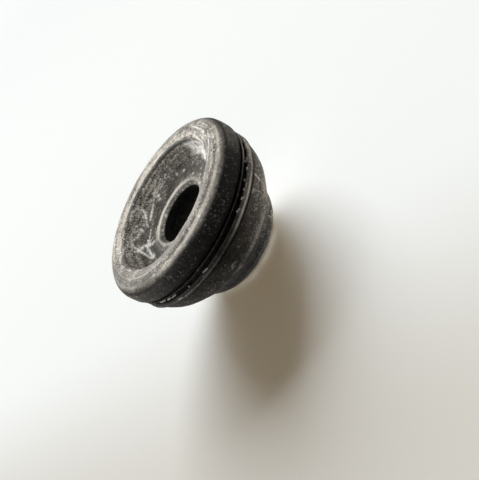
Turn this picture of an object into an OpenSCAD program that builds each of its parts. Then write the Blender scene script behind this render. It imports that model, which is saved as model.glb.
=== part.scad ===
// Shock absorber bushing, moulded in one piece from black rubber.
// It stands on its nose with the dish up. The bore runs along Z, and the
// origin is the centre of the nose's end face. Sizes are in millimetres.

/* [Body] */
// Diameter across the bead, the widest part of the bushing
bead_d = 38; // [37:0.5:44]
// Height from the nose's end face to the top of the rim
body_h = 20.8; // [20.4:0.1:26]

/* [Bore] */
// Diameter of the bore that the stem goes through
bore_d = 12; // [8:0.5:13]
// Chamfer where the bore leaves the nose
bore_chamfer = 0.4; // [0.1:0.1:0.6]
// Width of the rounded mouth, from the bore to the crest of the lip
mouth_w = 0.75; // [0.4:0.05:1]
// Depth of that rounded mouth
mouth_h = 1; // [0.5:0.1:1.5]

/* [Nose] */
// Diameter of the flat end face
foot_d = 14.8; // [14.4:0.2:16]
// Slope of the nose where it leaves the end face
foot_angle = 15; // [5:1:20]
// Radius of the round nose, seen in section
nose_r = 7; // [5:0.5:7]
// Lean of the nose's side under the waist, from the vertical
nose_lean = 27; // [20:1:32]

/* [Waist] */
// Diameter of the waist between the nose and the dome
waist_d = 24.4; // [23.8:0.2:26]
// Height of the waist above the end face
waist_h = 4.2; // [3.9:0.1:5]
// Radius of the hollow round of the waist
waist_r = 1.6; // [0.8:0.2:3]

/* [Dome] */
// Slope of the dome's lower flank, from the horizontal
dome_angle = 45; // [43:1:50]
// Radius of the dome's shoulder, seen in section
dome_r = 9.5; // [5:0.5:10]
// How far the dome's upper edge lies inside the bead
dome_inset = 0.85; // [0.7:0.05:1.2]

/* [Parting groove] */
// Height of the lower flash ridge, at the top of the dome
ridge_h = 12.9; // [12.3:0.1:13.3]
// Distance from the lower flash ridge up to the upper one
ridge_gap = 2.35; // [2.1:0.05:2.7]
// How far the lower flash ridge stops short of the bead
lower_inset = 0.5; // [0.4:0.05:0.6]
// How far the upper flash ridge stops short of the bead
upper_inset = 0.25; // [0.1:0.05:0.4]
// Thickness of both flash ridges at their edge
flash_t = 0.25; // [0.15:0.05:0.35]
// Width of the groove under the upper flash ridge
groove_w = 1.1; // [0.8:0.1:1.2]
// Depth of the groove, measured in from the bead
groove_depth = 1.3; // [0.9:0.1:1.8]

/* [Rim] */
// Radius of the bead's outer edge, seen in section
bead_r = 2.8; // [1.5:0.1:3]
// Diameter at which the flat land on top of the rim begins
land_d = 32; // [30:0.5:33]
// How far the dish's edge lies below the land
edge_drop = 0.5; // [0.2:0.1:0.9]
// Radius of the dish's edge, seen in section
edge_r = 1; // [0.3:0.1:1.2]

/* [Dish] */
// Diameter of the dish at its edge
dish_d = 27; // [26:0.5:28]
// Depth of the dish's floor below the land
dish_depth = 4.6; // [3.6:0.2:5.4]
// Radius of the hollow round between the wall and the floor
dish_r = 3.1; // [1.5:0.1:3.4]
// Diameter of the lip's foot on the floor
lip_d = 16.4; // [15.8:0.2:17]
// Height of the lip around the bore above the floor
lip_h = 0.4; // [0.2:0.1:0.8]

/* [Hidden] */
$fn = 96;
chord_tol = 0.01;       // how far a round's chords may stray from it
crevice_w = 0.3;        // gap between the upper flash ridge and the bead
crevice_depth = 1;      // depth of that gap, in from the bead
band_inset = 0.35;      // the band between the groove and the lower ridge
dome_lean = 11;         // lean of the dome's upper flank, from the vertical
wall_draft = 5;         // lean of the dish's wall, from the vertical
bead_foot_r = 0.9;      // rounds of the smaller corners, seen in section
groove_r = 0.25;
lip_foot_r = 0.4;
lip_crest_r = 0.3;

bore_rad = bore_d / 2;
bead_rad = bead_d / 2;
floor_z = body_h - dish_depth;
crest_z = floor_z + lip_h;
lower_top = ridge_h + flash_t / 2;
lower_foot = ridge_h - flash_t / 2;
upper_top = ridge_h + ridge_gap + flash_t / 2;
upper_foot = ridge_h + ridge_gap - flash_t / 2;
foot_edge = [foot_d / 2, 0];
waist = [waist_d / 2, waist_h];
dome_edge = [bead_rad - dome_inset, lower_foot - flash_t];

// Where a line from p, at angle a from the horizontal, meets one from q at
// angle b
function meet(p, a, q, b) =
    p + [cos(a), sin(a)]
        * ((q[0] - p[0]) * sin(b) - (q[1] - p[1]) * cos(b)) / sin(b - a);

nose_corner = meet(foot_edge, foot_angle, waist, 90 - nose_lean);
dome_corner = meet(dome_edge, 90 - dome_lean, waist, dome_angle);

// Corners of the half section as [[radius, height], round]. They run from
// the bore at the nose outwards, up over the rim and down into the dish.
corners = [
    [[bore_rad, bore_chamfer], 0],
    [[bore_rad + bore_chamfer, 0], 0],
    // nose, waist and dome
    [foot_edge, 0],
    [nose_corner, nose_r],
    [waist, waist_r],
    [dome_corner, dome_r],
    [dome_edge, 0],
    // lower flash ridge and the band above it
    [[bead_rad - lower_inset, lower_foot], 0],
    [[bead_rad - lower_inset, lower_top], 0],
    [[bead_rad - band_inset - flash_t, lower_top + flash_t], 0],
    [[bead_rad - band_inset, upper_foot - groove_w], groove_r],
    // groove and upper flash ridge
    [[bead_rad - groove_depth, upper_foot - groove_w], groove_r],
    [[bead_rad - groove_depth, upper_foot], groove_r],
    [[bead_rad - upper_inset, upper_foot], 0],
    [[bead_rad - upper_inset, upper_top], 0],
    // crevice, bead and land
    [[bead_rad - crevice_depth, upper_top], 0],
    [[bead_rad - crevice_depth, upper_top + crevice_w], 0],
    [[bead_rad, upper_top + crevice_w + bead_foot_r / 2], bead_foot_r],
    [[bead_rad, body_h], bead_r],
    [[land_d / 2, body_h], 0],
    // edge, wall and floor of the dish
    [[dish_d / 2, body_h - edge_drop], edge_r],
    [[dish_d / 2 - dish_depth * tan(wall_draft), floor_z], dish_r],
    // lip and mouth of the bore
    [[lip_d / 2, floor_z], lip_foot_r],
    [[bore_rad + mouth_w, crest_z], lip_crest_r],
    [[bore_rad, crest_z - mouth_h], mouth_h],
];

function unit(v) = v / norm(v);

// Corner i, counted round the section
function corner(i) = corners[(i + len(corners)) % len(corners)];
function edge(i, j) = corner(j)[0] - corner(i)[0];

// Half of the angle between the two edges of corner i
function half_angle(i) = acos(unit(edge(i, i - 1)) * unit(edge(i, i + 1))) / 2;

// How far along its edges the round of corner i would reach, and how far it
// does where it shares an edge with a neighbour's round
function full_reach(i) = corner(i)[1] / tan(half_angle(i));
function share(i, j) =
    min(1, norm(edge(i, j)) / max(chord_tol, full_reach(i) + full_reach(j)));
function reach(i) = full_reach(i) * min(share(i, i - 1), share(i, i + 1));

// Points of the round in corner i
function rounded(i) =
    let (
        u = unit(edge(i, i - 1)),
        v = unit(edge(i, i + 1)),
        half = half_angle(i),
        radius = reach(i) * tan(half),
        centre = corner(i)[0] + unit(u + v) * radius / sin(half),
        start = corner(i)[0] + u * reach(i) - centre,
        sweep = (180 - 2 * half) * sign(u[1] * v[0] - u[0] * v[1]),
        steps = ceil(abs(sweep) / (2 * acos(1 - chord_tol / radius)))
    )
    [for (k = [0:steps])
        let (t = sweep * k / steps)
        centre + [
            start[0] * cos(t) - start[1] * sin(t),
            start[0] * sin(t) + start[1] * cos(t)
        ]];

// Outline of the half section
outline = [for (i = [0:len(corners) - 1])
    each corner(i)[1] > 0 ? rounded(i) : [corner(i)[0]]];

module bushing() {
    color([0.09, 0.09, 0.09])
        rotate_extrude() polygon(outline);
}

bushing();
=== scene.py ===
import math

import bmesh
import bpy
import numpy as np
from mathutils import Matrix, Vector, noise


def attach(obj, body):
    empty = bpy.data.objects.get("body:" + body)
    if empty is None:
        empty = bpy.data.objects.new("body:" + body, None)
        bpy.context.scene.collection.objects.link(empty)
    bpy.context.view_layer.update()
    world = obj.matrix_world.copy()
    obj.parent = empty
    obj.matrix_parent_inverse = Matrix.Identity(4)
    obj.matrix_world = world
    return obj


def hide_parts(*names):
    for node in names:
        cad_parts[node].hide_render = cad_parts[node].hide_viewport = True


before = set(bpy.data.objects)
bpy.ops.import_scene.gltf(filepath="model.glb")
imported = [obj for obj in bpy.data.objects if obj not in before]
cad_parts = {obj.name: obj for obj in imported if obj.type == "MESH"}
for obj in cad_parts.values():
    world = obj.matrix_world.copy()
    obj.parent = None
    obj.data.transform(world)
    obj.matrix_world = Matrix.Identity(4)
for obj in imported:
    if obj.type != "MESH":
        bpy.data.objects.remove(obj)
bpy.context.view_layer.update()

# Shock absorber bushing of black rubber, standing on its nose with the dish
# up. The section's sizes are in millimetres, as in part.scad, and the meshes
# are in metres.
MM = 0.001
TURNS = 360                 # steps round the axis
CHORD = 0.005               # how far the chords of a round may stray from it
ROUND_SHARE = 0.98          # keeps the rounds of neighbouring corners apart
NOISE_STRETCH = 1.6         # brings smooth noise to about -1 to 1

BODY_H = 20.8
BEAD_RAD = 19.0
BORE_RAD = 6.0
BORE_CHAMFER = 0.4
FOOT_RAD = 7.4
NOSE_CORNER = (10.475, 0.824)
NOSE_R = 7.0
WAIST = (12.2, 4.2)
WAIST_R = 1.6
DOME_CORNER = (17.5, 9.5)
DOME_R = 9.5
DOME_EDGE = (18.15, 12.525)
LOWER_RIDGE_H = 12.9
LOWER_RIDGE_RAD = 18.5
UPPER_RIDGE_H = 15.25
UPPER_RIDGE_RAD = 18.75
FLASH_T = 0.25
BAND_RAD = 18.65
GROOVE_RAD = 17.7
GROOVE_FLOOR_H = 14.025
CREVICE_RAD = 18.0
CREVICE_TOP_H = 15.675
BEAD_FOOT_H = 16.125
BEAD_FOOT_R = 0.9
BEAD_R = 2.8
LAND_RAD = 16.0
EDGE_RAD = 13.5
EDGE_H = 20.3
EDGE_R = 1.0
FLOOR_H = 16.2
WALL_FOOT_RAD = 13.1
DISH_R = 3.1
LIP_FOOT_RAD = 8.2
CREST_RAD = 6.75
CREST_H = 16.6
MOUTH_H = 15.6
RING_H = 14.7               # a faint ring that the core pin left in the bore
RING_OUT = 0.07

# Waviness of the flash ridges and of the band between them, as height in
# millimetres, bumps a turn and seed. The names say which way it goes, and the
# band's top edge goes upwards with it.
UPPER_OUT_WAVES = ((0.10, 26, 3.1), (0.07, 90, 7.7))
UPPER_UP_WAVES = ((0.09, 14, 11.3), (0.05, 60, 2.9))
LOWER_OUT_WAVES = ((0.05, 30, 5.5), (0.03, 110, 1.3))
LOWER_UP_WAVES = ((0.05, 18, 9.1),)
BAND_OUT_WAVES = ((0.06, 40, 4.7),)
UPPER_SET_BACK = 0.10       # brings the upper ridge's crests back to about its radius
# Unevenness of the whole skin, as height, size and seed
SKIN_BUMPS = ((0.05, 3.0, 1.0), (0.02, 0.7, 5.0))
SHARP_ANGLE = 50            # in degrees, where the shading breaks

# Camera: the pose that the fit of the rim, the bore and the outline gives
CAMERA_TILT = 27.09         # below the horizon, in degrees
CAMERA_ROLL = 62.69         # about the line of sight, in degrees
CAMERA_LENS = 75.0          # in millimetres, as the sensor
CAMERA_SENSOR = 36.0
BEAD_CENTRE = Vector((0, 0, 17.37)) * MM
BEAD_CENTRE_AT = Vector((-12.33, -5.90, 192.1)) * MM   # right, down, away

# Lamps, as azimuth from +Y towards +X, height above the horizon, distance,
# width and watts. Angles are in degrees, the rest in metres. The key lights
# the floor, and the panels light the object.
KEY = (26, 23, 5.0, 3.8, 640)
PANELS = {
    "window": (-16, 27, 0.8, 0.34, 4.2),
    "top": (180, 80, 0.55, 0.36, 2.1),
    "side": (75, 25, 0.6, 0.3, 0.5),
    "left": (-88, 12, 0.6, 0.2, 1.5),
}
LAMP_AIM = Vector((0, 0, 0.01))     # where all lamps point
DAYLIGHT = (1.0, 0.985, 0.955)
ROOM_COLOUR = (1.0, 0.93, 0.82)
ROOM_LIGHT = 0.04
WINDOW_LIGHT = 0.25         # added to the room's light on the far side
WINDOW_EDGE = (0.25, 0.85)  # share of +Y in a direction, where it starts and is full
FLOOR_GLOW = 0.16           # warm glow that only the camera sees
GLOW_COLOUR = (1.0, 0.76, 0.45)
FLOOR_BOUNCE = 0.4          # light that the floor under the nose throws back up
BOUNCE_EDGE = (0.0115, 0.014)   # radii between which that light fades out

FLOOR_REACH = 3.0           # from the axis to each side
FLOOR_COLOUR = (0.82, 0.895, 0.96, 1)
FLOOR_NEAR_COLOUR = (0.57, 0.60, 0.615, 1)
FLOOR_FAR_COLOUR = (0.735, 0.81, 0.87, 1)
FLOOR_UNSEEN_COLOUR = (0.60, 0.58, 0.55, 1)     # for all but the camera
# Way over the floor from the picture's bottom right corner to its top left
# one, as x and y, and how far along it from the axis each tone starts and is
# full, the near one backwards
FLOOR_AWAY = (0.81, 0.58)
FLOOR_NEAR = (0.0, 0.052)
FLOOR_FAR = (0.06, 0.24)

BLACK_RUBBER = (0.0014, 0.0013, 0.0012, 1)
BROWN_RUBBER = (0.0120, 0.0100, 0.0075, 1)
DUST_AND_LIGHT_COLOUR = (0.67, 0.63, 0.565, 1)
WORN_AND_HIGHLIGHT_COLOUR = (0.70, 0.665, 0.60, 1)
SCRATCH_AND_LIGHT_COLOUR = (0.93, 0.92, 0.89, 1)
SPECULAR = 0.26
BUMP_STRENGTH = 0.6
BUMP_DEPTH = 0.00014
WHITE = (1, 1, 1, 1)


# ------------------------------------------------------------------ shape

def waves(theta, rows):
    """Smooth noise round the axis, the sum of the rows of height, bumps a
    turn and seed."""
    total = 0
    for height, bumps, seed in rows:
        size = bumps / (2 * math.pi)
        total = total + height * NOISE_STRETCH * np.array([
            noise.noise(Vector((math.cos(t) * size, math.sin(t) * size, seed)))
            for t in theta])
    return total


def section(theta):
    """Corners of the half section, as radius, height, round and spacing of
    points. Each radius and height is an array over theta. They run from the
    bore at the nose outwards, up over the rim and down into the dish."""
    flat = np.zeros_like(theta)
    half = FLASH_T / 2
    upper_rad = UPPER_RIDGE_RAD + (waves(theta, UPPER_OUT_WAVES) - UPPER_SET_BACK)
    upper_h = UPPER_RIDGE_H + waves(theta, UPPER_UP_WAVES)
    lower_rad = LOWER_RIDGE_RAD + waves(theta, LOWER_OUT_WAVES)
    lower_h = LOWER_RIDGE_H + waves(theta, LOWER_UP_WAVES)
    band_out = waves(theta, BAND_OUT_WAVES)
    rows = [
        (BORE_RAD, BORE_CHAMFER, 0.05, 0.5),
        (BORE_RAD + BORE_CHAMFER, 0, 0.05, 0.4),
        # nose, waist and dome
        (FOOT_RAD, 0, 0.3, 0.4),
        (*NOSE_CORNER, NOSE_R, 0.3),
        (*WAIST, WAIST_R, 0.3),
        (*DOME_CORNER, DOME_R, 0.3),
        (*DOME_EDGE, 0.08, 0.15),
        # lower flash ridge and the band above it
        (lower_rad, lower_h - half, 0.1, 0.15),
        (lower_rad, lower_h + half, 0.1, 0.15),
        (BAND_RAD - FLASH_T + band_out, LOWER_RIDGE_H + 3 * half, 0.1, 0.15),
        (BAND_RAD + band_out, GROOVE_FLOOR_H + band_out, 0.25, 0.15),
        # groove and upper flash ridge
        (GROOVE_RAD, GROOVE_FLOOR_H, 0.25, 0.25),
        (GROOVE_RAD, upper_h - half, 0.25, 0.25),
        (upper_rad, upper_h - half, 0.1, 0.15),
        (upper_rad, upper_h + half, 0.1, 0.15),
        # crevice, bead and land
        (CREVICE_RAD, upper_h + half, 0.05, 0.25),
        (CREVICE_RAD, CREVICE_TOP_H, 0.05, 0.25),
        (BEAD_RAD, BEAD_FOOT_H, BEAD_FOOT_R, 0.3),
        (BEAD_RAD, BODY_H, BEAD_R, 0.22),
        (LAND_RAD, BODY_H, 0.25, 0.22),
        # edge, wall and floor of the dish
        (EDGE_RAD, EDGE_H, EDGE_R, 0.2),
        (WALL_FOOT_RAD, FLOOR_H, DISH_R, 0.2),
        # lip and mouth of the bore, and the ring in it
        (LIP_FOOT_RAD, FLOOR_H, 0.4, 0.2),
        (CREST_RAD, CREST_H, 0.3, 0.15),
        (BORE_RAD, MOUTH_H, 1.0, 0.2),
        (BORE_RAD, RING_H + 0.2, 0.1, 0.15),
        (BORE_RAD - RING_OUT, RING_H + 0.06, 0.05, 0.1),
        (BORE_RAD - RING_OUT, RING_H - 0.06, 0.05, 0.1),
        (BORE_RAD, RING_H - 0.2, 0.1, 0.15),
    ]
    return [(r + flat, z + flat, round_, step) for r, z, round_, step in rows]


def edge_from(spots, i, j):
    """Direction and length of the edge from corner i to corner j."""
    edge = spots[j % len(spots)] - spots[i]
    length = np.linalg.norm(edge, axis=-1, keepdims=True)
    return edge / length, length[..., 0]


def half_angle(back, ahead):
    """Half of the angle between the two edges of a corner."""
    return np.arccos(np.clip((back * ahead).sum(-1), -1, 1)) / 2


def round_reaches(spots, rounds):
    """How far each corner's round reaches along its edges. Where it shares an
    edge with a neighbour's round, both give way alike."""
    full, lengths = [], []
    for i, radius in enumerate(rounds):
        back, back_length = edge_from(spots, i, i - 1)
        ahead, ahead_length = edge_from(spots, i, i + 1)
        full.append(radius / np.tan(half_angle(back, ahead)))
        lengths.append((back_length, ahead_length))
    reaches = []
    for i, (back_length, ahead_length) in enumerate(lengths):
        before = np.minimum(1, back_length / (full[i] + full[i - 1]))
        after = np.minimum(1, ahead_length / (full[i] + full[(i + 1) % len(full)]))
        reaches.append(ROUND_SHARE * full[i] * np.minimum(before, after))
    return reaches


def round_points(spots, i, reach, spacing):
    """Points of the round in corner i, each an array over the angles."""
    back, _ = edge_from(spots, i, i - 1)
    ahead, _ = edge_from(spots, i, i + 1)
    half = half_angle(back, ahead)
    radius = reach * np.tan(half)
    start = spots[i] + back * reach[:, None]
    middle = back + ahead
    middle /= np.linalg.norm(middle, axis=-1, keepdims=True)
    centre = spots[i] + middle * (radius / np.sin(half))[:, None]
    turn = np.sign(back[:, 1] * ahead[:, 0] - back[:, 0] * ahead[:, 1])
    sweep = (math.pi - 2 * half) * turn
    bend = float(np.abs(sweep).mean())
    mean_radius = float(radius.mean())
    chord_angle = 2 * math.acos(1 - min(0.5, CHORD / max(mean_radius, 1e-3)))
    chords = max(2, math.ceil(bend / chord_angle), math.ceil(bend * mean_radius / spacing))
    spoke = start - centre
    points = []
    for k in range(chords + 1):
        t = sweep * k / chords
        c, s = np.cos(t), np.sin(t)
        points.append(centre + np.stack(
            [spoke[:, 0] * c - spoke[:, 1] * s,
             spoke[:, 0] * s + spoke[:, 1] * c], axis=-1))
    return points


def rounded_outline(corners):
    """Points of the half section, as an array (points, angles, 2). Each corner
    is rounded, and the straights between the rounds are divided."""
    count = len(corners)
    spots = [np.stack([r, z], axis=-1) for r, z, _, _ in corners]
    rounds = [row[2] for row in corners]
    steps = [row[3] for row in corners]
    reaches = round_reaches(spots, rounds)
    arcs = [round_points(spots, i, reaches[i], steps[i]) for i in range(count)]
    outline = []
    for i, points in enumerate(arcs):
        end = points[-1]
        following = arcs[(i + 1) % count][0]
        gap = float(np.linalg.norm(following - end, axis=-1).mean())
        parts = max(1, round(gap / max(steps[i], steps[(i + 1) % count])))
        outline += points
        outline += [end + (following - end) * n / parts for n in range(1, parts)]
    return np.array(outline)


def lathe(name, outline, theta):
    """Closed mesh of the outline turned round the axis, in metres."""
    points, turns = outline.shape[:2]
    r, z = outline[..., 0], outline[..., 1]
    spots = np.stack([r * np.cos(theta), r * np.sin(theta), z], axis=-1)
    spots = spots.reshape(-1, 3) * MM
    i, j = np.meshgrid(np.arange(points), np.arange(turns), indexing="ij")
    next_i, next_j = (i + 1) % points, (j + 1) % turns
    quads = np.stack([i * turns + j, i * turns + next_j, next_i * turns + next_j,
                      next_i * turns + j], axis=-1).reshape(-1, 4)
    mesh = bpy.data.meshes.new(name)
    mesh.from_pydata(spots.tolist(), [], quads.tolist())
    mesh.update()
    piece = bpy.data.objects.new(name, mesh)
    bpy.context.scene.collection.objects.link(piece)
    return piece


def places(mesh):
    """The mesh's points, as an array (points, 3) in metres."""
    spots = np.empty(len(mesh.vertices) * 3)
    mesh.vertices.foreach_get("co", spots)
    return spots.reshape(-1, 3)


def roughen(mesh, height, size, seed):
    """Moves each point along its normal by smooth noise, in millimetres, but
    not out of the part's own box."""
    spots = places(mesh)
    normals = np.empty(spots.size)
    mesh.vertex_normals.foreach_get("vector", normals)
    shift = np.array([
        noise.noise(Vector((x, y, z)) / (size * MM) + Vector((seed, 0, 0)))
        for x, y, z in spots])
    spots += normals.reshape(-1, 3) * (shift * height * MM)[:, None]
    off_axis = np.hypot(spots[:, 0], spots[:, 1])
    shrink = np.minimum(1, BEAD_RAD * MM / np.maximum(off_axis, 1e-9))
    spots[:, :2] *= shrink[:, None]
    spots[:, 2] = np.clip(spots[:, 2], 0, BODY_H * MM)
    mesh.vertices.foreach_set("co", spots.ravel())
    mesh.update()


# ---------------------------------------------------------- dust, wear, painted light and shade

def paint(piece, name, values):
    """Keeps one number a point under a name that the material reads."""
    layer = piece.data.attributes.new(name, "FLOAT", "POINT")
    layer.data.foreach_set("value", np.asarray(values, dtype=np.float32))


def smooth(low, high, x):
    """0 below low, 1 above high, and an S-curve between them."""
    t = np.clip((x - low) / (high - low), 0, 1)
    return t * t * (3 - 2 * t)


def window(x, low, high, soft=0.15):
    """1 where x lies between low and high, with soft ends."""
    return smooth(low - soft, low + soft, x) * (1 - smooth(high - soft, high + soft, x))


def arc(angle, start, end, soft=12):
    """1 where an angle in degrees lies between start and end, with soft ends."""
    off = np.abs((angle - (start + end) / 2 + 180) % 360 - 180)
    half = (end - start) / 2
    return 1 - smooth(half - soft, half + soft, off)


def strokes(spots, lines, seed):
    """How strongly each point lies on one of the lines. A line is its width
    and its points, in millimetres. A line of one point is a dot."""
    total = np.zeros(len(spots))
    for number, (width, *points) in enumerate(lines):
        for start, end in zip(points, points[1:] or points):
            start, end = np.array(start), np.array(end)
            along = end - start
            t = np.clip(((spots - start) @ along) / max(along @ along, 1e-6), 0, 1)
            gap = np.linalg.norm(spots - start - t[:, None] * along, axis=1)
            # the line's strength goes up and down on its way
            broken = 0.8 + 0.3 * np.sin(7 * t * np.linalg.norm(along) + seed + number)
            total = np.maximum(total, broken * np.exp(-(gap / width) ** 2))
    return np.clip(total, 0, 1)


# Pale scratches and smears, as a width and points, in millimetres
DISH_SCRATCHES = [
    (0.28, (-8.5, 9.8, 17.8), (-9.9, 9.0, 18.8)),
    (0.26, (-9.9, 9.0, 18.8), (-10.6, 7.5, 17.8), (-10.6, 5.8, 16.8), (-10.5, 1.9, 16.2)),
    (0.50, (-7.4, 4.5, 16.2), (-8.2, 5.2, 16.2), (-9.3, 7.1, 16.5), (-10.8, 6.9, 17.4)),
    (0.40, (-9.0, 7.1, 16.4), (-9.8, 4.5, 16.2), (-10.1, 1.3, 16.2)),
    (0.24, (-7.2, 6.4, 16.2), (-8.8, 6.2, 16.3), (-9.9, 5.3, 16.3)),
    (0.18, (-8.0, 7.6, 16.3), (-9.4, 5.6, 16.2), (-9.8, 3.0, 16.2)),
    (0.20, (-6.0, 8.9, 16.2), (-8.4, 6.7, 16.2)),
    (0.24, (-10.3, 8.6, 19.4), (-11.8, 7.0, 20.1), (-13.2, 5.8, 20.5)),
    (0.16, (-11.8, 4.8, 17.4), (-13.2, 1.2, 19.5)),
    (0.22, (-6.5, 11.8, 19.9), (-4.7, 12.8, 20.0), (-3.5, 12.9, 19.4)),
    (0.20, (-3.5, 12.9, 19.4), (-3.2, 12.8, 18.2), (-4.0, 12.0, 17.3), (-5.5, 10.7, 16.7)),
    (0.16, (3.4, 12.9, 18.8), (0.6, 12.8, 17.5), (-1.3, 12.2, 17.0)),
    (0.22, (-1.3, 12.2, 17.0), (-2.7, 11.7, 16.7), (-4.3, 10.9, 16.5)),
    (0.26, (0.9, 12.9, 17.7), (1.3, 12.7, 17.5)),
    (0.26, (0.4, 12.5, 17.1), (0.8, 12.2, 16.9)),
    (0.26, (0.0, 11.9, 16.6), (0.4, 11.6, 16.5)),
]
RIM_SCRATCHES = [
    (0.30, (13.8, 3.8, 20.4), (13.3, 1.1, 19.0), (12.4, 1.1, 17.1), (11.1, 0.6, 16.3)),
    (0.24, (13.5, 2.3, 19.8), (12.9, 0.2, 18.2), (12.1, -0.3, 16.9)),
    (0.18, (14.3, 1.2, 20.5), (13.5, -3.6, 20.4), (12.8, -5.3, 20.3)),
    (0.30, (16.4, -5.5, 20.8), (16.7, -5.7, 20.7)),
    (0.28, (15.5, -7.2, 20.8), (14.8, -8.2, 20.7)),
    (0.16, (15.6, -5.0, 20.8), (13.3, -8.1, 20.7), (10.6, -10.0, 20.5)),
    (0.20, (15.8, 3.5, 20.8), (15.7, -0.7, 20.8), (15.4, -3.1, 20.8)),
]
DOME_SCRATCHES = [
    (0.21, (12.3, -13.2, 12.1), (12.1, -13.0, 11.0), (11.8, -12.5, 9.8)),
    (0.18, (9.7, -15.2, 11.8), (9.2, -15.6, 12.2)),
    (0.19, (-4.7, -15.8, 8.7), (-4.4, -16.3, 9.3), (-4.0, -16.5, 9.4), (-3.4, -16.3, 9.0)),
]
# Lone pale grains in the dish, as width and place
GRAINS = [
    (0.26, (-6.6, 11.4, 18.3)), (0.24, (-7.7, 10.7, 18.2)), (0.22, (-7.7, 10.9, 19.0)),
    (0.22, (-6.1, 11.5, 17.8)), (0.24, (-6.9, 10.7, 17.4)), (0.22, (-5.8, 11.1, 17.2)),
    (0.22, (-6.9, 10.3, 17.1)), (0.22, (-5.7, 10.2, 16.6)), (0.22, (-1.9, 9.1, 16.2)),
    (0.26, (6.4, 9.6, 16.5)), (0.26, (7.7, 7.8, 16.3)), (0.26, (7.9, 3.2, 16.2)),
]
# Thin dark line beside the scratches at the dish's edge
DARK_LINES = [
    (0.16, (13.6, 2.9, 20.3), (13.3, 2.6, 19.2), (12.8, 2.6, 18.0)),
]


class Skin:
    """Where the body's points lie, for the masks of its dust and wear and of its painted
    light and shade. Radius and height are in millimetres. The angle is in degrees from +X
    towards +Y, so 90 is the side away from the camera and 270 the side towards it."""

    def __init__(self, r, z, angle):
        self.r = r
        self.z = z
        self.angle = angle
        self.top = smooth(20.0, 20.3, z)            # top of the rim
        self.dish = 1 - smooth(13.55, 13.75, r)     # inside the dish's edge
        self.outer = smooth(8, 9, r)                # below the dish: neither bore nor foot
        # sides of the upright part, seen from the camera's side
        self.far = self.arc(40, 150, 20)
        self.near = self.arc(150, 370, 20)
        self.front = self.arc(232, 345, 14)
        self.front_right = self.arc(245, 400, 14)
        self.right = self.arc(290, 400, 24)
        self.right_end = self.arc(325, 385, 10)

    def ring(self, low, high, soft=0.15):
        return window(self.r, low, high, soft)

    def level(self, low, high, soft=0.15):
        return window(self.z, low, high, soft)

    def arc(self, start, end, soft=12):
        return arc(self.angle, start, end, soft)


def dust_and_light_parts(s):
    """Places on the skin and how much dust lies there, with painted light in it."""
    down = 1.5 - smooth(7, 12.5, s.z)               # more towards the dome's foot, as painted light from the floor below
    return [
        # land, from inside outwards, with painted sheen on the far side
        (s.ring(16.05, 16.8) * s.top, 0.41 + 0.13 * s.far - 0.12 * s.arc(200, 240, 15)),
        (s.ring(16.8, 17.4) * s.top, 0.32 + 0.12 * s.far + 0.16 * s.right_end),
        # bead's edge and round, with painted highlights towards the camera and on the outer
        # edge near angle 0
        (s.ring(17.3, 17.9, 0.3) * smooth(19.7, 20.1, s.z), 0.32 + 0.3 * s.front),
        (s.ring(17.9, 18.7, 0.2) * s.level(19.7, 20.3), 0.12 + 0.12 * s.arc(268, 300)),
        (s.ring(18.4, 19.1, 0.2) * s.level(18.1, 19.0) * s.arc(-12, 10, 8), 0.5),
        # slope inside the land, and the dish's edge: painted sheen on the slope's far side,
        # painted shade on the edge between 30 and 112 degrees
        (s.ring(14.3, 15.9, 0.2) * s.top,
         0.46 + 0.26 * s.far + 0.1 * s.arc(150, 190) + 0.1 * s.arc(5, 32, 8)
         - 0.24 * s.arc(182, 335)),
        (s.ring(13.6, 14.3, 0.1) * s.top,
         0.38 - 0.17 * s.arc(30, 112, 12) + 0.22 * s.arc(122, 152, 8)),
        # dish's wall and floor, the floor darker on the near side as painted shade
        (s.dish * s.level(18.2, 20.0, 0.3), 0.50),
        (s.dish * s.level(17.0, 18.2, 0.3), 0.36),
        (s.dish * s.ring(8.3, 13) * s.level(16.0, 17.0, 0.2), 0.20 - 0.07 * s.near),
        # lip and the bore's mouth, lighter on the far side as painted light
        (s.ring(7.6, 8.3, 0.1) * s.level(16, 16.7, 0.1), 0.30 + 0.35 * s.far),
        (s.ring(6.9, 7.6, 0.1) * s.level(16, 16.7, 0.1), 0.36 + 0.5 * s.far),
        (s.ring(5.9, 6.5, 0.1) * s.level(15.3, 16.3), 0.30 + 0.1 * s.far),
        # band between the flash ridges, and the bead's flank, lighter towards both ends of
        # the outline as painted sheen
        (s.ring(18.0, 19, 0.1) * s.level(13.2, 14.1, 0.1),
         0.04 + 0.2 * s.right + 0.5 * s.right_end),
        (s.ring(18.8, 19.1, 0.1) * s.right_end, 0.26),
        (s.ring(18.8, 19.1, 0.1) * s.arc(150, 205, 30), 0.22),
        # dome, waist and nose, lighter on the right, towards the camera and at the nose's end
        # as painted light
        (s.level(6.5, 12.4, 0.4),
         (0.12 + 0.28 * s.right + 0.12 * s.right_end - 0.04 * s.arc(190, 238, 14)) * down),
        (s.level(5.6, 7.4, 0.5) * s.outer, 0.15 + 0.28 * s.front_right + 0.16 * s.right),
        (s.level(3.2, 5.6, 0.5) * s.outer, 0.07 + 0.13 * s.front_right + 0.11 * s.right),
        (s.level(1.2, 3.2, 0.5) * s.outer, 0.05 + 0.12 * s.front_right + 0.24 * s.right),
        (s.level(-1, 1.2, 0.4) * s.outer, 0.6 + 0.4 * s.front_right),
    ]


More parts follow.
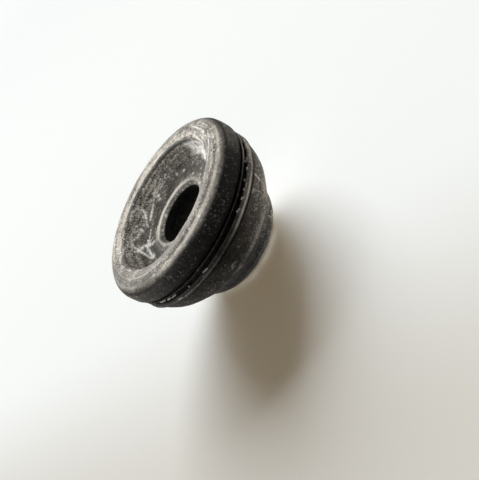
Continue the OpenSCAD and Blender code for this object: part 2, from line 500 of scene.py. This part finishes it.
def wear_and_highlight_parts(s):
    """Edges and crests that are worn pale, and how much. Much of it is painted highlight and
    sheen.
    """
    return [
        # bead's edge, with a painted highlight on the side towards the camera
        (s.ring(17.45, 18.1, 0.3) * smooth(19.6, 19.9, s.z),
         0.22 + 0.75 * s.front + 0.15 * s.right_end),
        (s.ring(18.1, 18.6, 0.2) * smooth(19.1, 19.7, s.z), 0.2 * s.arc(265, 350)),
        # land's inner edge and the slope inside it, with painted sheen on the slope and a
        # painted highlight round the dish on the far side
        (s.ring(15.9, 16.1, 0.1) * s.top, 0.45 - 0.25 * s.right_end + 0.35 * s.arc(190, 250)),
        (s.ring(14.2, 15.8, 0.3) * s.top, 0.34 * s.arc(182, 335)),
        (s.ring(14.5, 15.1, 0.2) * s.top, 0.25 + 0.4 * s.far),
        # lip's crest, with a painted highlight on the far side
        (s.ring(6.55, 7.3) * smooth(16.0, 16.2, s.z), 0.45 + 0.8 * s.far),
        # upper and lower flash ridge, with painted highlights on the right
        (s.ring(18.4, 19, 0.1) * s.level(15.05, 15.45, 0.08), 0.04 + 0.6 * s.arc(318, 365)),
        (s.ring(18.3, 19, 0.1) * s.level(13.0, 13.35, 0.06), 0.12 + 0.6 * s.arc(275, 350)),
    ]


def bare_and_shade_parts(s, spots):
    """Places that stay free of dust, and how much, most of them kept dark as painted shade.
    """
    return [
        # groove, foot of the bead and underside of the lower ridge, kept dark as painted
        # shade
        (s.ring(5, 18.2, 0.1) * s.level(13.9, 15.7, 0.1), 1),
        (s.ring(17.5, 19.1, 0.1) * s.level(15.6, 16.5, 0.2) * s.arc(215, 330, 15), 1),
        (s.ring(17.9, 19, 0.1) * s.level(12.45, 12.85, 0.06) * s.front_right, 0.8),
        # bore and the dish's edge, kept dark as painted shade, and a thin dark line
        (1 - smooth(5.98, 6.02, s.r), 1),
        (s.ring(13.6, 13.95, 0.1) * smooth(19, 19.3, s.z) * s.arc(15, 62), 0.5),
        (strokes(spots, DARK_LINES, 0.0), 1),
    ]


def chalk_and_painted_light(s):
    """Painted light with pale smears in it: a crescent of light on the dish's wall and floor,
    and on the far side painted highlights on the lip's crest and the slope round the dish."""
    return (s.dish * s.level(16.9, 19.7) * s.arc(-27, 24, 6)
            + s.ring(11.2, 12.8) * s.level(16, 17) * s.arc(-27, 10, 6)
            + 0.55 * s.ring(6.6, 7.2, 0.1) * smooth(16.2, 16.4, s.z) * s.arc(62, 145, 15)
            + 0.4 * s.ring(14.5, 15.1) * s.top * s.arc(55, 100))


def thickest(parts):
    """The largest of the amounts at each point."""
    total = 0
    for where, amount in parts:
        total = np.maximum(total, where * amount)
    return total


def make_body():
    theta = np.arange(TURNS) * 2 * math.pi / TURNS
    outline = rounded_outline(section(theta))
    body = lathe("bushing_rubber", outline, theta)
    for height, size, seed in SKIN_BUMPS:
        roughen(body.data, height, size, seed)
    body.data.shade_smooth()
    body.data.set_sharp_from_angle(angle=math.radians(SHARP_ANGLE))
    angle = np.degrees(np.broadcast_to(theta, outline.shape[:2])).ravel()
    skin = Skin(outline[..., 0].ravel(), outline[..., 1].ravel(), angle)
    spots = places(body.data) / MM
    # the dust values carry painted sheen and highlights, the wear values painted highlights,
    # and the bare values painted shade
    paint(body, "dust_and_painted_light", thickest(dust_and_light_parts(skin)))
    paint(body, "worn_and_highlight", thickest(wear_and_highlight_parts(skin)))
    paint(body, "bare_and_shade", thickest(bare_and_shade_parts(skin, spots)))
    lines = DISH_SCRATCHES + RIM_SCRATCHES + DOME_SCRATCHES + GRAINS
    # the scratch marks also carry a painted crescent of light and painted highlights
    paint(body, "scratch_and_light", np.maximum(strokes(spots, lines, 2.0), 0.9 * chalk_and_painted_light(skin)))
    return body


# Scraps of torn flash and grit in the groove, as angle, height, radius,
# length round the axis, width and thickness, in degrees and millimetres
SCRAPS = [
    (331, 14.05, 18.35, 0.5, 0.45, 0.30),
    (321, 14.15, 18.25, 1.1, 0.50, 0.35),
    (319, 14.40, 18.10, 0.5, 0.60, 0.30),
    (313, 14.10, 18.30, 1.1, 0.45, 0.35),
    (305, 14.25, 18.10, 0.6, 0.45, 0.35),
    (299, 14.10, 18.35, 0.6, 0.45, 0.35),
    (293, 14.10, 18.40, 0.6, 0.40, 0.30),
    (285, 14.10, 18.30, 0.7, 0.40, 0.30),
    (247, 14.00, 18.40, 1.3, 0.36, 0.30),
    (232, 14.15, 18.20, 0.5, 0.40, 0.30),
    (219, 14.60, 18.30, 1.6, 0.40, 0.30),
    (215, 14.75, 18.45, 1.3, 0.45, 0.30),
    (210, 15.05, 18.65, 2.2, 0.45, 0.25),
    (220, 13.35, 18.45, 1.3, 0.50, 0.20),
]
SCRAP_DUST = 0.34
SCRAP_WEAR = 0.22


def lump(mesh, centre, along, across, out, seed):
    """Adds a small rough lump with the given half lengths to a bmesh."""
    made = bmesh.ops.create_icosphere(mesh, subdivisions=3, radius=1)["verts"]
    for vert in made:
        at = vert.co.copy()
        # broad bumps and finer ones
        rough = (1 + 0.45 * noise.noise(at * 1.3 + Vector((seed, 0, 0)))
                 + 0.2 * noise.noise(at * 3.1 + Vector((0, seed, 0))))
        vert.co = centre + rough * (at.x * along + at.y * across + at.z * out)


def make_scraps():
    """Scraps of flash and grit stuck in the parting groove, one mesh."""
    mesh = bmesh.new()
    for number, (angle, z, r, long, wide, thick) in enumerate(SCRAPS):
        t = math.radians(angle)
        outward = Vector((math.cos(t), math.sin(t), 0))
        # along the groove, with a small slope that differs from scrap to scrap
        along = Vector((-math.sin(t), math.cos(t), 0.12 * math.sin(7 * number)))
        centre = outward * r + Vector((0, 0, z))
        lump(mesh, centre * MM, along * (long / 2 * MM),
             Vector((0, 0, wide / 2 * MM)), outward * (thick / 2 * MM), number)
    data = bpy.data.meshes.new("flash_scraps")
    mesh.to_mesh(data)
    mesh.free()
    data.shade_smooth()
    piece = bpy.data.objects.new("flash_scraps", data)
    bpy.context.scene.collection.objects.link(piece)
    paint(piece, "dust_and_painted_light", np.full(len(data.vertices), SCRAP_DUST))
    paint(piece, "worn_and_highlight", np.full(len(data.vertices), SCRAP_WEAR))
    return piece


# -------------------------------------------------------------- materials

class Nodes:
    """Short calls for building a node tree."""

    def __init__(self, tree):
        self.tree = tree
        tree.nodes.clear()

    def add(self, kind, **settings):
        node = self.tree.nodes.new(kind)
        for key, value in settings.items():
            setattr(node, key, value)
        return node

    def link(self, source, target):
        self.tree.links.new(source, target)

    def put(self, value, socket):
        if isinstance(value, bpy.types.NodeSocket):
            self.link(value, socket)
        else:
            socket.default_value = value

    def math(self, operation, a, b=0.0, clamp=False):
        node = self.add("ShaderNodeMath", operation=operation, use_clamp=clamp)
        self.put(a, node.inputs[0])
        self.put(b, node.inputs[1])
        return node.outputs[0]

    def plus(self, a, b, clamp=False):
        return self.math("ADD", a, b, clamp)

    def times(self, first, *others, clamp=False):
        """Product of two or more values. Only the last step is clamped."""
        for other in others[:-1]:
            first = self.math("MULTIPLY", first, other)
        return self.math("MULTIPLY", first, others[-1], clamp)

    def noise(self, where, scale, detail=3.0, rough=0.55):
        node = self.add("ShaderNodeTexNoise")
        self.put(where, node.inputs["Vector"])
        node.inputs["Scale"].default_value = scale
        node.inputs["Detail"].default_value = detail
        node.inputs["Roughness"].default_value = rough
        return node.outputs["Fac"]

    def painted(self, name):
        return self.add("ShaderNodeAttribute", attribute_name=name).outputs["Fac"]

    def where(self, kind="Object"):
        return self.add("ShaderNodeTexCoord").outputs[kind]

    def axes(self, vector):
        node = self.add("ShaderNodeSeparateXYZ")
        self.link(vector, node.inputs[0])
        return node.outputs

    def seen(self):
        """1 for what the camera sees itself, 0 for what lights the rest."""
        return self.add("ShaderNodeLightPath").outputs["Is Camera Ray"]

    def ramp(self, value, low, high, bottom=0.0, top=1.0):
        node = self.add("ShaderNodeMapRange", interpolation_type="SMOOTHSTEP")
        self.put(value, node.inputs["Value"])
        node.inputs["From Min"].default_value = low
        node.inputs["From Max"].default_value = high
        node.inputs["To Min"].default_value = bottom
        node.inputs["To Max"].default_value = top
        return node.outputs["Result"]

    def blend(self, factor, a, b):
        node = self.add("ShaderNodeMix", data_type="RGBA")
        self.put(factor, node.inputs["Factor"])
        self.put(a, node.inputs[6])
        self.put(b, node.inputs[7])
        return node.outputs[2]

    def surface(self, shader, kind="ShaderNodeOutputMaterial"):
        self.link(shader.outputs[0], self.add(kind).inputs["Surface"])


class Patterns:
    """The rubber's noise patterns, whose scale is in cells a metre. Clear is 0 where the skin
    stays bare of dust and where shade is painted. The streaks run round the axis."""

    def __init__(self, n):
        self.where = n.where()
        self.streaks = n.noise(round_the_axis(n, self.where), 3.5, 3, 0.6)
        self.patches = n.noise(self.where, 150, 3)
        self.mottle = n.noise(self.where, 700, 4, 0.6)
        self.grain = n.noise(self.where, 3000, 2, 0.6)
        self.pits = n.noise(self.where, 4300, 1, 0.5)
        self.clear = n.math("SUBTRACT", 1.0, n.painted("bare_and_shade"))


def round_the_axis(n, where):
    """Coordinates that hardly change along a turn round the axis, and change
    quickly along the section."""
    x, y, z = n.axes(where)
    off_axis = n.math("SQRT", n.plus(n.times(x, x), n.times(y, y)))
    turned = n.add("ShaderNodeCombineXYZ")
    n.link(n.math("DIVIDE", x, off_axis), turned.inputs["X"])
    n.link(n.math("DIVIDE", y, off_axis), turned.inputs["Y"])
    n.link(n.times(n.math("SUBTRACT", off_axis, z), 600), turned.inputs["Z"])
    return turned.outputs[0]


def dust_and_light_film(n, p):
    """Thickness of the film of dust, and how rough it is. It lies in patches
    and streaks, and the thinnest dust is the smoothest."""
    film = n.times(n.painted("dust_and_painted_light"), p.clear, n.ramp(p.patches, 0.3, 0.7, 0.55, 0.95))
    film = n.times(film, n.ramp(p.mottle, 0.36, 0.66, 0.72, 1.28))
    rough = n.ramp(film, 0.16, 0.45, 0.32, 1.0)
    streaky = n.times(rough, n.ramp(p.streaks, 0.37, 0.61, -0.40, 0.38))
    return n.times(film, n.plus(streaky, 1.0)), rough


def grainy(n, p, film, rough, thick):
    """The film broken up into pale dots, with pits between them."""
    dots = n.times(n.ramp(n.plus(p.grain, thick), 0.46, 0.66, -1.0, 1.8), rough)
    pits = n.times(n.ramp(film, 0.15, 0.45, 0.1, 0.85), n.ramp(p.pits, 0.34, 0.5, 1.0, 0.0))
    dust_and_painted_light = n.times(film, n.plus(dots, 1.0))
    return n.times(dust_and_painted_light, n.math("SUBTRACT", 1.03, pits), clamp=True)


def specks(n, p, thick, scale, share, small, large):
    """Lone round grains. The scale is in cells a metre, and the share is that
    of the cells that have one."""
    cells = n.add("ShaderNodeTexVoronoi")
    n.link(p.where, cells.inputs["Vector"])
    cells.inputs["Scale"].default_value = scale
    colour = n.add("ShaderNodeSeparateColor")
    n.link(cells.outputs["Color"], colour.inputs[0])
    chance, size, _ = colour.outputs
    chosen = n.ramp(n.plus(chance, thick), 1 - share, 1.01 - share)
    reach = n.times(cells.outputs["Distance"], n.ramp(size, 0, 1, 0.7, 1.9))
    return n.times(chosen, n.ramp(reach, small, large, 1.0, 0.0), p.clear)


def all_specks(n, p, film, thick):
    """Grains of three sizes, fewer and fainter where there is no dust."""
    coarse = n.times(specks(n, p, thick, 900, 0.14, 0.10, 0.24),
                     n.ramp(film, 0.0, 0.25, 0.07, 0.8))
    fine = n.times(specks(n, p, thick, 1700, 0.30, 0.14, 0.38),
                   n.ramp(film, 0.0, 0.25, 0.11, 0.75))
    finest = n.times(specks(n, p, thick, 3200, 0.34, 0.20, 0.50),
                     n.ramp(film, 0.0, 0.25, 0.09, 0.3))
    grains = n.math("MAXIMUM", n.math("MAXIMUM", coarse, fine), finest)
    return n.times(grains, n.ramp(p.patches, 0.35, 0.62, 0.45, 1.25))


def pale_marks(n, p, grains):
    """Scratches, smears and lone grains, and the painted crescent of light and highlights in
    the dish.
    """
    scratch_and_light_marks = n.times(n.painted("scratch_and_light"), n.ramp(p.grain, 0.34, 0.54, 0.5, 1.15),
                        n.ramp(p.mottle, 0.36, 0.52, 0.75, 1.1),
                        n.ramp(p.streaks, 0.38, 0.58, 0.65, 1.15))
    return n.times(n.math("MAXIMUM", scratch_and_light_marks, grains), p.clear, clamp=True)


def rubber_material():
    """Black rubber with dust in its grain, edges worn pale and scratches, with painted
    highlights, sheen and shade laid into them.
    """
    material = bpy.data.materials.new("worn_rubber")
    material.use_nodes = True
    n = Nodes(material.node_tree)
    p = Patterns(n)
    film, rough = dust_and_light_film(n, p)
    thick = n.times(film, 0.25)     # brings more grains where the dust is thick
    dust_and_painted_light = grainy(n, p, film, rough, thick)
    pale = pale_marks(n, p, all_specks(n, p, film, thick))
    worn_and_highlight = n.times(n.painted("worn_and_highlight"), n.ramp(p.streaks, 0.38, 0.60, 0.75, 1.1),
                   n.ramp(p.mottle, 0.35, 0.62, 0.75, 1.1),
                   n.ramp(p.pits, 0.40, 0.55, 0.65, 1.0))
    colour = n.blend(n.ramp(p.mottle, 0.40, 0.68), BLACK_RUBBER, BROWN_RUBBER)
    colour = n.blend(dust_and_painted_light, colour, DUST_AND_LIGHT_COLOUR)
    colour = n.blend(worn_and_highlight, colour, WORN_AND_HIGHLIGHT_COLOUR)
    colour = n.blend(pale, colour, SCRATCH_AND_LIGHT_COLOUR)
    # dust and the bare places of painted shade are duller than the rubber, worn edges and
    # painted highlights shine
    matt = n.plus(n.ramp(p.grain, 0.3, 0.7, 0.54, 0.74), n.times(dust_and_painted_light, 0.3), clamp=True)
    matt = n.math("SUBTRACT", matt, n.times(worn_and_highlight, 0.30))
    matt = n.plus(matt, n.times(n.painted("bare_and_shade"), 0.3), clamp=True)
    bump = n.add("ShaderNodeBump")
    bump.inputs["Strength"].default_value = BUMP_STRENGTH
    bump.inputs["Distance"].default_value = BUMP_DEPTH
    n.link(n.plus(p.grain, n.times(p.mottle, 1.5)), bump.inputs["Height"])
    shader = n.add("ShaderNodeBsdfPrincipled")
    shader.inputs["Specular IOR Level"].default_value = SPECULAR
    n.link(colour, shader.inputs["Base Color"])
    n.link(matt, shader.inputs["Roughness"])
    n.link(bump.outputs[0], shader.inputs["Normal"])
    n.surface(shader)
    return material


def floor_material():
    """Pale matt floor. To the camera it is darker towards the bottom right corner of the
    picture, and a little darker towards the top left one, as painted shade. Round the nose it
    glows for all but the camera, as painted bounce light."""
    material = bpy.data.materials.new("pale_floor")
    material.use_nodes = True
    n = Nodes(material.node_tree)
    where = n.where()
    x, y, _ = n.axes(where)
    away = n.plus(n.times(x, FLOOR_AWAY[0]), n.times(y, FLOOR_AWAY[1]))
    near = n.ramp(n.times(away, -1.0), *FLOOR_NEAR)
    far = n.ramp(away, *FLOOR_FAR)
    seen = n.seen()
    colour = n.blend(far, n.blend(near, FLOOR_COLOUR, FLOOR_NEAR_COLOUR), FLOOR_FAR_COLOUR)
    matt = n.add("ShaderNodeBsdfDiffuse")
    n.link(n.blend(seen, FLOOR_UNSEEN_COLOUR, colour), matt.inputs["Color"])
    off_axis = n.add("ShaderNodeVectorMath", operation="LENGTH")
    n.link(where, off_axis.inputs[0])
    bounce = n.ramp(off_axis.outputs["Value"], *BOUNCE_EDGE, FLOOR_BOUNCE, 0.0)
    unseen = n.math("SUBTRACT", 1.0, seen)
    glow = n.add("ShaderNodeEmission")
    n.link(n.blend(seen, WHITE, (*GLOW_COLOUR, 1)), glow.inputs["Color"])
    n.link(n.plus(n.times(seen, FLOOR_GLOW), n.times(bounce, unseen)),
           glow.inputs["Strength"])
    both = n.add("ShaderNodeAddShader")
    n.link(matt.outputs[0], both.inputs[0])
    n.link(glow.outputs[0], both.inputs[1])
    n.surface(both)
    return material


# ------------------------------------------------------------------ stage

def make_floor():
    mesh = bpy.data.meshes.new("floor")
    reach = FLOOR_REACH
    mesh.from_pydata([(-reach, -reach, 0), (reach, -reach, 0), (reach, reach, 0),
                      (-reach, reach, 0)], [], [(0, 1, 2, 3)])
    floor = bpy.data.objects.new("floor", mesh)
    bpy.context.scene.collection.objects.link(floor)
    mesh.materials.append(floor_material())
    return floor


def make_lamp(name, facts):
    """Square lamp at the given azimuth, height, distance, width and watts."""
    azimuth, height, away, size, watts = facts
    side, up = math.radians(azimuth), math.radians(height)
    place = away * Vector((math.sin(side) * math.cos(up),
                           math.cos(side) * math.cos(up), math.sin(up)))
    lamp = bpy.data.lights.new(name, "AREA")
    lamp.size = size
    lamp.energy = watts
    lamp.color = DAYLIGHT
    piece = bpy.data.objects.new(name, lamp)
    bpy.context.scene.collection.objects.link(piece)
    piece.location = place
    piece.rotation_euler = (LAMP_AIM - place).to_track_quat("-Z", "Y").to_euler()
    piece.visible_camera = False
    return piece


def make_world():
    """Dim warm room, with a wide pale window on the far side, where +Y is.
    To the camera it is plain white."""
    world = bpy.data.worlds.new("studio")
    bpy.context.scene.world = world
    world.use_nodes = True
    n = Nodes(world.node_tree)
    _, y, _ = n.axes(n.where("Generated"))
    window_side = n.ramp(y, *WINDOW_EDGE)
    soft = n.add("ShaderNodeBackground")
    n.link(n.blend(window_side, (*ROOM_COLOUR, 1), (*DAYLIGHT, 1)), soft.inputs["Color"])
    n.link(n.plus(ROOM_LIGHT, n.times(window_side, WINDOW_LIGHT)), soft.inputs["Strength"])
    white = n.add("ShaderNodeBackground")
    pick = n.add("ShaderNodeMixShader")
    n.link(n.seen(), pick.inputs[0])
    n.link(soft.outputs[0], pick.inputs[1])
    n.link(white.outputs[0], pick.inputs[2])
    n.surface(pick, "ShaderNodeOutputWorld")


def light_only(lamp, pieces):
    only = bpy.data.collections.new("lit_by_" + lamp.name)
    for piece in pieces:
        only.objects.link(piece)
    lamp.light_linking.receiver_collection = only


def make_light(floor, pieces):
    make_world()
    light_only(make_lamp("key", KEY), (floor,))
    for name, facts in PANELS.items():
        light_only(make_lamp(name, facts), pieces)


def make_camera():
    tilt = math.radians(CAMERA_TILT)
    roll = math.radians(CAMERA_ROLL)
    away = Vector((0, math.cos(tilt), -math.sin(tilt)))
    level = Vector((1, 0, 0))
    steep = Vector((0, math.sin(tilt), math.cos(tilt)))
    right = math.cos(roll) * level - math.sin(roll) * steep
    up = math.sin(roll) * level + math.cos(roll) * steep
    eye = BEAD_CENTRE - (BEAD_CENTRE_AT.x * right - BEAD_CENTRE_AT.y * up
                         + BEAD_CENTRE_AT.z * away)
    lens = bpy.data.cameras.new("camera")
    lens.sensor_width = CAMERA_SENSOR
    lens.lens = CAMERA_LENS
    lens.clip_start = 0.01
    camera = bpy.data.objects.new("camera", lens)
    bpy.context.scene.collection.objects.link(camera)
    turn = Matrix((right, up, -away)).transposed().to_4x4()
    camera.matrix_world = Matrix.Translation(eye) @ turn
    bpy.context.scene.camera = camera


def main():
    bpy.context.scene.view_settings.view_transform = "Standard"
    make_camera()
    floor = make_floor()
    body = make_body()
    scraps = make_scraps()
    rubber = rubber_material()
    for piece in (body, scraps):
        piece.data.materials.append(rubber)
        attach(piece, "root")
        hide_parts("bushing")
    make_light(floor, (body, scraps))


main()
